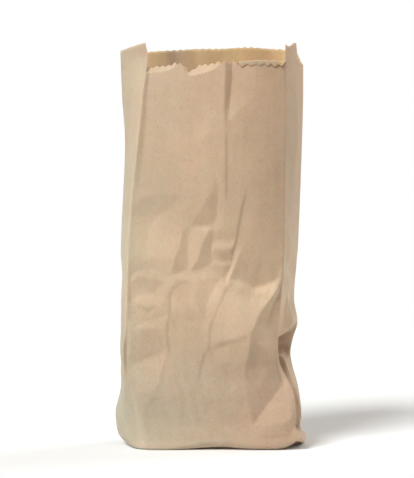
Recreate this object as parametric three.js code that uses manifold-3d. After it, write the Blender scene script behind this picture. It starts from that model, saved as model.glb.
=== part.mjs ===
// Kraft paper sack: a tall gusseted block-bottom bag that stands open and empty.
// Millimetres, +Z up, front face towards -Y. The origin is on the floor, under the middle of the sack.
import * as THREE from "three";
import { mergeVertices } from "three/addons/utils/BufferGeometryUtils.js";
import Module from "manifold-3d";

// Driving dimensions
const halfGusset = 40; // width of each half of a side gusset, fold to crease
const frontCut = 312; // height of the serrated front rim where it stands upright
const earCut = 326; // height of the plain cut across the side gussets
const backCut = 332; // height of the serrated back rim at its ends
const toothPitch = 6.4; // spacing of the teeth along the rims
const toothDepth = 2.2; // a tooth, valley to tip
const paperWall = 1.4; // wall that stands for the paper
const baseFloor = 1.6; // floor that stands for the folded layers of the base
const baseRadius = 4; // rounding of the edge round the base
const blankHeight = 340; // height of the body before its rim is cut
const gussetDepth = 5.1; // how far behind the middle the side creases stand
const reliefFade = 5; // distance over which the creases die out before a fold
const sackColour = 0xc8ab84;

// The loop round the sack, anticlockwise from above, and its facets on each panel
const panels = [
  { name: "front", facets: 28 },
  { name: "rightFrontGusset", facets: 7 },
  { name: "rightBackGusset", facets: 4 },
  { name: "back", facets: 13 },
  { name: "leftBackGusset", facets: 4 },
  { name: "leftFrontGusset", facets: 5 },
];
const columnCount = panels.reduce((sum, panel) => sum + panel.facets, 0);

// A smooth line through [height, value] pairs in rising order
function lineThrough(points) {
  const last = points.length - 1;
  const slopeAt = (i) => {
    const [a, b] = [points[Math.max(i - 1, 0)], points[Math.min(i + 1, last)]];
    return (b[1] - a[1]) / (b[0] - a[0]);
  };
  return (height) => {
    const z = THREE.MathUtils.clamp(height, points[0][0], points[last][0]);
    let i = 0;
    while (i < last - 1 && z > points[i + 1][0]) i += 1;
    const span = points[i + 1][0] - points[i][0];
    const t = (z - points[i][0]) / span;
    const rise = points[i + 1][1] - points[i][1];
    const bendA = slopeAt(i) * span - rise;
    const bendB = rise - slopeAt(i + 1) * span;
    return points[i][1] + rise * t + t * (1 - t) * (bendA * (1 - t) + bendB * t);
  };
}

// Where each fold stands left or right of the middle, as [height, x]
const leftFrontFold = lineThrough([
  [0, -57], [42, -66], [60, -69], [160, -65.6], [211, -62], [270, -56], [290, -54.2], [303, -52],
  [311, -50.6], [318, -50.4], [327, -52], [335, -53],
]);
const rightFrontFold = lineThrough([
  [0, 66], [6, 73], [12, 72.5], [18, 68], [30, 67.5], [45, 66.5], [51, 65], [60, 61], [68, 57],
  [76, 55.6], [90, 55.2], [165, 59.6], [335, 61],
]);
const leftGussetCrease = lineThrough([
  [0, -68], [4, -72.5], [9, -76], [20, -78], [30, -78], [45, -73.5], [54, -71.7], [68, -72.6],
  [90, -73.5], [120, -73.5], [141, -72.7], [161, -73.9], [210, -71.9], [235, -70.7], [260, -70.7],
  [286, -72.7], [335, -74.6],
]);
const rightGussetCrease = lineThrough([
  [0, 73], [4, 77.5], [10, 78.4], [15, 77.4], [19.5, 73.8], [24, 75.6], [32, 75.7], [50, 72.8],
  [65, 68.6], [76, 66.9], [88, 69], [101, 72.7], [120, 69.9], [150, 71.9], [165, 73.2], [280, 77.3],
  [335, 77.3],
]);
const leftBackFold = lineThrough([[0, -62], [60, -65], [200, -62], [335, -58]]);
const rightBackFold = lineThrough([[0, 66], [60, 62], [200, 63], [335, 63]]);

// How far the front fold on the right is pinched back low down, as [height, distance]
const pinch = lineThrough([
  [0, 0], [30, 0], [46, 3.4], [60, 8], [74, 10.4], [86, 9], [98, 3.6], [110, 0], [335, 0],
]);

// How far each panel swells out at its middle, as [height, distance]
const frontSwell = lineThrough([
  [0, 1], [35, 5], [70, 8.6], [95, 9.6], [120, 8.4], [150, 5], [190, 1.6], [220, 1], [335, 1],
]);
const backSwell = lineThrough([[0, 1], [50, 3.4], [160, 4.7], [260, 3.4], [335, 1]]);
const leftGussetSwell = lineThrough([[0, 2], [25, 4], [60, 2], [150, 1.5], [335, 1]]);
const rightGussetSwell = lineThrough([[0, 2], [25, 2], [60, -1], [84, -2], [104, 1], [125, 0], [335, 1]]);

// The front also stands out towards its right side, then rolls back to the fold there: its height by
// level, and its shape as [share of the width, part of the height]
const rollHeight = lineThrough([
  [0, 0], [20, 1], [38, 4.5], [56, 8], [74, 9.6], [90, 9], [104, 7], [120, 4.4], [135, 4.4],
  [160, 6.6], [190, 9.2], [220, 10.4], [335, 10.6],
]);
const rollShape = [[0, 0], [0.36, 0.62], [0.61, 1], [0.79, 0.82], [0.89, 0.5], [1, 0]];

// Creases of the front panel, each a chain of knots [x, height, rise, left reach, right reach]. The paper
// is lifted by the rise, or pressed in where it is negative, and slopes back to the panel over the two
// reaches, left and right as seen along the chain.
const frontCreases = {
  groove: [[13, 215, 0, 4, 5], [14, 262, -1, 4, 6], [17, 285, -2.4, 5, 10], [18, 345, -2.8, 5, 14]],
  tentFold: [[-14, 146, 0, 5, 5], [-8.5, 154, 2.2, 10, 7], [-3, 171, 3, 13, 6], [1, 177, 2.4, 14, 6]],
  hollowOverTent: [[-15, 182, 0, 6, 4], [-4, 182, -1.2, 10, 4], [6, 184, 0, 6, 4]],
  edgeLeftOfTent: [
    [-34, 141, 0.6, 8, 8], [-30, 150, 2.2, 14, 10], [-26, 161, 2.6, 18, 8], [-22, 176, 1.2, 14, 5],
  ],
  upperLeftHollow: [
    [-60, 189, 0, 8, 8], [-46, 188, -1, 12, 14], [-33, 192, -0.8, 12, 14], [-22, 184, 0, 8, 8],
  ],
  slantingRidge: [
    [-1.5, 84, 0.7, 6, 8], [-1, 99, 2.8, 10, 14], [4, 113, 2.2, 10, 12], [12, 131, 1, 10, 7],
    [19, 143, 1.6, 6, 8], [26, 160, 0.5, 6, 8],
  ],
  bendOnTheRight: [
    [14, 137, 0, 6, 6], [20, 139, -1.6, 12, 8], [36, 131.5, -3.6, 26, 10], [48, 132, -2.8, 22, 8],
    [57, 137.5, 0, 8, 6],
  ],
  diagonalRidge: [
    [34.5, 20, 0, 6, 6], [32, 34, 0.8, 10, 10], [26, 62, 3, 16, 16], [30, 84, 6, 26, 18],
    [35.5, 102, 7.2, 28, 15], [45.5, 118, 7, 28, 11], [53, 128, 4.4, 16, 9], [57.5, 137.5, 0.6, 6, 6],
  ],
  lowerLeftHollow: [
    [-68, 59, 0, 8, 8], [-60, 69, -2.4, 18, 12], [-50, 75, -2.6, 20, 14], [-40, 77.5, -1.2, 18, 10],
  ],
  lowerLeftCrest: [[-58, 24, 0.6, 10, 10], [-52, 40, 1.2, 14, 10], [-42, 58, 1.2, 16, 6], [-40, 70, 0, 8, 5]],
  lowerRightHollow: [[34, 20, 0, 6, 6], [40, 34, -2.4, 12, 10], [48, 47, -2.8, 14, 12], [53, 62, 0, 10, 8]],
  hollowAtThePinch: [[53, 92, -1, 5, 6], [51, 80, -3.6, 6, 7], [51, 70, -3.6, 6, 7], [53, 58, -1, 5, 6]],
  lowerRightCrest: [[34, 20, 0.4, 8, 6], [48, 22, 2.2, 12, 9], [60, 23.5, 2.4, 14, 9], [67, 28, 0.8, 8, 8]],
};

// Creases of the right side's front half, as [distance from the front fold, height, ...] in the same way:
// a pocket pressed in low down, under a lip
const pocketCreases = {
  lip: [[3, 92, 0.6, 6, 4], [12, 95, 2.2, 9, 5], [26, 100, 3, 12, 6], [38, 104, 1, 10, 7]],
  pocket: [[6, 64, -5, 9, 12], [12, 74, -9, 13, 16], [17, 84, -12, 17, 17], [14, 90, -4, 8, 8]],
};

// The relief of a crease is that of its strongest stretch
function creaseRelief(knots, x, z) {
  let relief = 0;
  for (let i = 1; i < knots.length; i += 1) {
    const [start, end] = [knots[i - 1], knots[i]];
    const [dx, dz] = [end[0] - start[0], end[1] - start[1]];
    const length = Math.hypot(dx, dz);
    const along = ((x - start[0]) * dx + (z - start[1]) * dz) / length;
    const across = ((x - start[0]) * dz - (z - start[1]) * dx) / length;
    const beyond = Math.max(-along, along - length, 0);
    const share = THREE.MathUtils.clamp(along / length, 0, 1);
    const [rise, left, right] = [2, 3, 4].map((k) => THREE.MathUtils.lerp(start[k], end[k], share));
    const here = rise * Math.max(0, 1 - Math.hypot(across, beyond) / (across < 0 ? left : right));
    if (Math.abs(here) > Math.abs(relief)) relief = here;
  }
  return relief;
}

function rollAt(share, z) {
  const i = rollShape.findIndex(([place], index) => index > 0 && share <= place);
  const [[startShare, startPart], [endShare, endPart]] = [rollShape[i - 1], rollShape[i]];
  return rollHeight(z) * THREE.MathUtils.mapLinear(share, startShare, endShare, startPart, endPart);
}

// The front rim leans inwards above a bend, in two places, as [x, slope] with upright paper between
const bendHeight = 303;
const rimLean = lineThrough([
  [-56, 0.3], [-46, 0.9], [-31, 0.8], [-26, 0.1], [-20, 0.9], [-4, 1.1], [3, 0.9], [9, 0.1], [70, 0.1],
]);

function reliefOf(creases, x, z) {
  return Object.values(creases).reduce((sum, knots) => sum + creaseRelief(knots, x, z), 0);
}

function frontRelief(x, z) {
  return reliefOf(frontCreases, x, z) - rimLean(x) * Math.max(0, Math.min(z, frontCut) - bendHeight);
}

// The back panel has shallow upright waves, which die out towards the base
const backWaveDepth = 1.6;
const backWaveCount = 3;
const backWaveFoot = 70;

function foldEnds(panelName, z) {
  const side = panelName.startsWith("left") ? "left" : "right";
  const crease = { left: leftGussetCrease(z), right: rightGussetCrease(z) };
  const front = { left: leftFrontFold(z), right: rightFrontFold(z) };
  const back = { left: leftBackFold(z), right: rightBackFold(z) };
  const pinched = { left: 0, right: pinch(z) };
  const depthTo = (x, creaseX) => Math.sqrt(halfGusset ** 2 - (creaseX - x) ** 2);
  const frontDepth = (s) => gussetDepth - depthTo(front[s], crease[s]) + pinched[s];
  const frontPoint = (s) => new THREE.Vector2(front[s], frontDepth(s));
  const backPoint = (s) => new THREE.Vector2(back[s], gussetDepth + depthTo(back[s], crease[s]));
  const creasePoint = new THREE.Vector2(crease[side], gussetDepth);
  if (panelName === "front") return [frontPoint("left"), frontPoint("right")];
  if (panelName === "back") return [backPoint("right"), backPoint("left")];
  if (panelName === "rightFrontGusset") return [frontPoint("right"), creasePoint];
  if (panelName === "rightBackGusset") return [creasePoint, backPoint("right")];
  if (panelName === "leftBackGusset") return [backPoint("left"), creasePoint];
  return [creasePoint, frontPoint("left")];
}

function swellAt(panelName, z) {
  if (panelName === "front") return frontSwell(z);
  if (panelName === "back") return backSwell(z);
  return panelName.startsWith("left") ? leftGussetSwell(z) : rightGussetSwell(z);
}

// A point of the loop at a height, with share from 0 to 1 along its panel
function loopPoint(panelName, share, z) {
  const [start, end] = foldEnds(panelName, z);
  const point = start.clone().lerp(end, share);
  const across = end.clone().sub(start);
  const width = across.length();
  const outward = new THREE.Vector2(across.y, -across.x).divideScalar(width);
  let lift = swellAt(panelName, z) * 4 * share * (1 - share);
  const fade = Math.min(1, share * width / reliefFade, (1 - share) * width / reliefFade);
  if (panelName === "front") lift += rollAt(share, z) + fade * frontRelief(point.x, z);
  if (panelName === "rightFrontGusset") lift += fade * reliefOf(pocketCreases, share * width, z);
  const waveDepth = backWaveDepth * Math.min(1, z / backWaveFoot);
  if (panelName === "back") lift += fade * waveDepth * Math.sin(2 * Math.PI * backWaveCount * share);
  return point.addScaledVector(outward, lift);
}

function loopAt(z) {
  return panels.flatMap(({ name, facets }) =>
    Array.from({ length: facets }, (_, i) => loopPoint(name, i / facets, z)));
}

// The loop moved inwards by a distance, square to the paper
function insetLoop(loop, distance) {
  const count = loop.length;
  return loop.map((point, i) => {
    const before = point.clone().sub(loop[(i + count - 1) % count]).normalize();
    const after = loop[(i + 1) % count].clone().sub(point).normalize();
    const inward = new THREE.Vector2(-before.y - after.y, before.x + after.x).normalize();
    const corner = Math.max(0.6, inward.dot(new THREE.Vector2(-after.y, after.x)));
    return point.clone().addScaledVector(inward, distance / corner);
  });
}

// Heights of the rows of facets, closer together at the base and at the rim
const cornerTop = 14; // top of the pressed corners of the base
const rowStep = 11;

function rowHeights(lowest, highest) {
  const heights = [0, 0.35, 1].map((part) => lowest + part * (baseRadius - lowest / 2));
  heights.push(8, cornerTop);
  const bodyRows = Math.round((bendHeight - cornerTop) / rowStep);
  for (let i = 1; i <= bodyRows; i += 1) {
    heights.push(THREE.MathUtils.lerp(cornerTop, bendHeight, i / bodyRows));
  }
  heights.push(bendHeight + 4, frontCut, highest);
  return heights;
}

// A closed body whose rows follow the loop: a cylinder reshaped row by row
function bodyOf(lowest, highest, thickness) {
  const heights = rowHeights(lowest, highest);
  const rows = heights.map((z) => {
    const edge = Math.max(0, baseRadius - z);
    const rounding = baseRadius - Math.sqrt(baseRadius ** 2 - edge ** 2);
    return insetLoop(loopAt(z), rounding + thickness);
  });
  const geometry = new THREE.CylinderGeometry(1, 1, 1, columnCount, heights.length - 1);
  geometry.deleteAttribute("normal");
  geometry.deleteAttribute("uv");
  const body = mergeVertices(geometry, 1e-5);
  const position = body.getAttribute("position");
  for (let i = 0; i < position.count; i += 1) {
    const [x, y, z] = [position.getX(i), position.getY(i), position.getZ(i)];
    const row = Math.round((y + 0.5) * (heights.length - 1));
    const turn = (Math.atan2(x, z) / (2 * Math.PI) + 1) % 1;
    const column = Math.round(turn * columnCount) % columnCount;
    const onAxis = Math.hypot(x, z) < 0.5;
    const place = onAxis ? new THREE.Vector2(0, 0) : rows[row][column];
    position.setXYZ(i, place.x, place.y, heights[row]);
  }
  return body;
}

const wasm = await Module();
wasm.setup();

function toSolid(geometry) {
  const bare = geometry.clone();
  bare.deleteAttribute("normal");
  bare.deleteAttribute("uv");
  const merged = mergeVertices(bare, 1e-5);
  return new wasm.Manifold(new wasm.Mesh({
    numProp: 3,
    vertProperties: Float32Array.from(merged.getAttribute("position").array),
    triVerts: Uint32Array.from(merged.index.array),
  }));
}

function toGeometry(solid) {
  const { vertProperties, triVerts } = solid.getMesh();
  const geometry = new THREE.BufferGeometry();
  geometry.setAttribute("position", new THREE.BufferAttribute(Float32Array.from(vertProperties), 3));
  geometry.setIndex(new THREE.BufferAttribute(Uint32Array.from(triVerts), 1));
  geometry.computeVertexNormals();
  return geometry;
}

// Everything above an edge line of [across, height] pairs, as a block to cut away. It reaches through
// the sack from near to far, seen from the front, or from the left side where fromSide is set.
const cutTop = blankHeight + 20;

function blockAbove(edge, near, far, fromSide = false) {
  const outline = new THREE.Shape(edge.map(([across, height]) => new THREE.Vector2(across, height)));
  outline.lineTo(edge[edge.length - 1][0], cutTop);
  outline.lineTo(edge[0][0], cutTop);
  const block = new THREE.ExtrudeGeometry(outline, { depth: far - near, bevelEnabled: false });
  block.rotateX(Math.PI / 2);
  block.translate(0, far, 0);
  if (fromSide) block.rotateZ(Math.PI / 2);
  return toSolid(block);
}

// A serrated edge: tips and valleys by turns about a line of heights
function serratedEdge(startX, endX, heightAt) {
  const count = 2 * Math.round((endX - startX) / toothPitch);
  return Array.from({ length: count + 1 }, (_, i) => {
    const x = THREE.MathUtils.lerp(startX, endX, i / count);
    return [x, heightAt(x) + (i % 2 === 0 ? -toothDepth : 0)];
  });
}

// The leaning stretches of the front rim end lower than the upright ones
const frontRimHeight = lineThrough([
  [-56, 305], [-47, 309], [-30, 309], [-26, 312.5], [-19, 309], [3, 310], [8, frontCut], [70, frontCut],
]);
// The back rim is arched
const backRimHeight = lineThrough([[-59, 330], [-36, 331.6], [7, 333.2], [33, 334.1], [64, 332.5]]);
const cutReach = 100; // how far the cutting blocks stand out past the sack
const frontCorners = [leftFrontFold(frontCut) + 0.6, rightFrontFold(frontCut) - 0.4];
const backCorners = [leftBackFold(backCut) - 1, rightBackFold(backCut) + 1];
const cornerOverlap = 4;

// The cut across each side gusset, from the front fold (-) to the back fold (+), as [depth, height]
const leftEarEdge = [[-cutReach, earCut], [18, earCut], [30, backCut], [cutReach, backCut]];
const rightEarEdge = [
  [-cutReach, earCut + 1.5], [-34, earCut + 1.5], [-26, earCut], [-11, earCut + 4],
  [-9, 319], [0, 314], [9, 317], [18, earCut], [30, backCut], [cutReach, backCut],
];

const rimCutters = [
  blockAbove(serratedEdge(...frontCorners, frontRimHeight), -cutReach, -8),
  blockAbove(serratedEdge(...backCorners, backRimHeight), 8, cutReach),
  blockAbove(leftEarEdge, -frontCorners[0] - cornerOverlap, cutReach, true),
  blockAbove(rightEarEdge, -cutReach, -frontCorners[1] + cornerOverlap, true),
];

function paperSack() {
  let solid = toSolid(bodyOf(0, blankHeight, 0));
  solid = solid.subtract(toSolid(bodyOf(baseFloor, blankHeight + 2, paperWall)));
  rimCutters.forEach((cutter) => {
    solid = solid.subtract(cutter);
  });
  const finish = new THREE.MeshStandardMaterial({ color: sackColour, roughness: 0.85, metalness: 0 });
  const mesh = new THREE.Mesh(toGeometry(solid), finish);
  mesh.name = "sack";
  return mesh;
}

const object = new THREE.Group();
object.add(paperSack());

export default object;
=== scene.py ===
import bisect
import functools
import math
import random
import bpy
import bmesh
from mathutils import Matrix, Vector
from mathutils.geometry import delaunay_2d_cdt


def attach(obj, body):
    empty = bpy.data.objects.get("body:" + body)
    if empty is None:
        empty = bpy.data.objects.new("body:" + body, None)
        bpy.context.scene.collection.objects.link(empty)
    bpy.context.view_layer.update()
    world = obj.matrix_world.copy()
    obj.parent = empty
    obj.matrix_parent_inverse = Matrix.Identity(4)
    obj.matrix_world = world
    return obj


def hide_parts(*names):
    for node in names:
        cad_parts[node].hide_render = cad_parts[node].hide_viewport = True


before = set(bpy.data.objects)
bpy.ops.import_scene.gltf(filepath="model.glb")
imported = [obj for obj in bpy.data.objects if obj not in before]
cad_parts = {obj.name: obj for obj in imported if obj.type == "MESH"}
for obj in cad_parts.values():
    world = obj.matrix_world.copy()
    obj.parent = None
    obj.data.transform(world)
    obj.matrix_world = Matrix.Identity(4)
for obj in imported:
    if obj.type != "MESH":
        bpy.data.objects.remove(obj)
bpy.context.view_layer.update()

# A kraft paper sack that stands open and empty. The dictionaries give millimetres, the meshes are in metres.
mm = 0.001


def lineThrough(points):
    # a smooth line through (place, value) pairs in rising order
    last = len(points) - 1

    def slopeAt(i):
        before, after = points[max(i - 1, 0)], points[min(i + 1, last)]
        return (after[1] - before[1]) / (after[0] - before[0])

    slopes = [slopeAt(i) for i in range(last + 1)]
    places = [point[0] for point in points]

    def valueAt(place):
        p = min(max(place, places[0]), places[last])
        i = min(max(bisect.bisect_left(places, p) - 1, 0), last - 1)
        span = places[i + 1] - places[i]
        t = (p - places[i]) / span
        rise = points[i + 1][1] - points[i][1]
        bendBefore = slopes[i] * span - rise
        bendAfter = rise - slopes[i + 1] * span
        return points[i][1] + rise * t + t * (1 - t) * (bendBefore * (1 - t) + bendAfter * t)

    return valueAt


# the folds, as height and distance from the middle, with the width of the soft bend of the left front fold and
# how far the right front fold is pinched in
folds = {
    "halfGusset": 40,
    "gussetDepth": 5.1,
    "leftFront": lineThrough([(0, -57), (42, -66), (58, -69.6), (84, -69.8), (100, -67.6), (160, -65.6),
                              (211, -62), (270, -56), (290, -54.2), (303, -52), (311, -50.6), (318, -50.4),
                              (327, -52), (335, -53)]),
    "rightFront": lineThrough(
        [(0, 66), (6, 73), (12, 72.5), (18, 69), (26, 69.6), (34, 69.4), (45, 68), (51, 66), (60, 61),
         (68, 57), (76, 55.6), (90, 55.2), (165, 59.6), (335, 61)]),
    "leftCrease": lineThrough(
        [(0, -68), (4, -72.5), (9, -76), (20, -78), (30, -78), (45, -73.5), (54, -71.7), (68, -72.6),
         (90, -73.5), (120, -73.5), (141, -72.7), (161, -73.9), (210, -71.9), (235, -70.7), (260, -70.7),
         (286, -72.7), (335, -74.6)]),
    "rightCrease": lineThrough(
        [(0, 79), (5, 79.4), (9.4, 78.6), (10.8, 77), (12.6, 73.9), (14.4, 73.7), (19, 75.2), (26, 75.8),
         (32, 75.7), (50, 72.8), (65, 68.6), (76, 66.9), (88, 69), (101, 72.7), (120, 69.9), (150, 71.9),
         (165, 73.2), (280, 77.3), (335, 77.3)]),
    "softLeft": lineThrough([(0, 11), (38, 12), (60, 5), (76, 0), (335, 0)]),
    "pinch": lineThrough([(0, 0), (30, 0), (42, 2), (52, 5.6), (59, 8), (74, 8.6), (85, 7.4), (96, 4.6),
                          (110, 2), (124, 0.5), (136, 0), (335, 0)]),
    "leftBack": lineThrough([(0, -62), (60, -65), (200, -62), (335, -58)]),
    "rightBack": lineThrough([(0, 66), (60, 62), (200, 63), (335, 63)]),
}
# how far each side stands out half way along it, by height
swells = {
    "front": lineThrough([(0, 1), (35, 5.8), (60, 9.6), (84, 12), (96, 11.6), (112, 9.6), (130, 6.8),
                          (150, 4.6), (190, 1.6), (220, 1), (335, 1)]),
    "back": lineThrough([(0, 1), (50, 3.4), (160, 4.7), (260, 3.4), (335, 1)]),
    "left": lineThrough([(0, 2), (25, 4), (60, 2), (150, 1.5), (335, 1)]),
    "right": lineThrough([(0, 2), (25, 2), (60, -1), (84, -2), (104, 1), (125, 0), (335, 1)]),
}
# the front stands out towards its right side, then rolls back to the fold there
roll = {
    "height": lineThrough([(0, 0), (20, 1), (38, 4.5), (56, 8), (74, 9.6), (87, 8), (98, 4.2), (108, 2),
                           (120, 1.8), (132, 3.6), (160, 6.6), (190, 9.2), (220, 10.4), (335, 10.6)]),
    "shape": lineThrough([(0, 0), (0.35, 0.6), (0.56, 0.96), (0.62, 1), (0.7, 0.95), (0.78, 0.84),
                          (0.85, 0.65), (0.92, 0.38), (1, 0)]),
}
sheet = {
    "panels": [("front", 126), ("rightFrontGusset", 30), ("rightBackGusset", 12), ("back", 44),
               ("leftBackGusset", 12), ("leftFrontGusset", 16)],
    "bodyTop": 300,
    "bodyRows": 178,
    "rowGrowth": 1.1,
    "baseRadius": 2.5,
    "reliefFade": 3,
    "backWaves": 3,
    "backWaveDepth": 1.6,
    "backWaveFoot": 70,
    "frontTeeth": lineThrough([(0, 0), (0.28, 6.3), (0.56, 12.4), (0.8, 16.2), (1, 20)]),
    "backTeeth": 20,
    "toothDepth": 2.6,
    "backToothDepth": 1,
    "frontRimRows": 28,
    "backRimRows": 14,
    "backCut": lineThrough([(-58, 329.8), (-53, 330.2), (-36, 331.6), (-19, 332.5), (7, 333.2), (18, 333.7),
                            (33, 334.1), (54, 333), (63, 332.5)]),
    "rimRowHeight": 2.2,
    "pocketWidth": 42,
    "softEdgePush": Vector((0.216, 0.288)),
    "crumplesFullFrom": 12,
    "crumplesOnFolds": 0.3,
    "mergeWithin": 0.01,
    "paper": 0.25,
}

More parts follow.
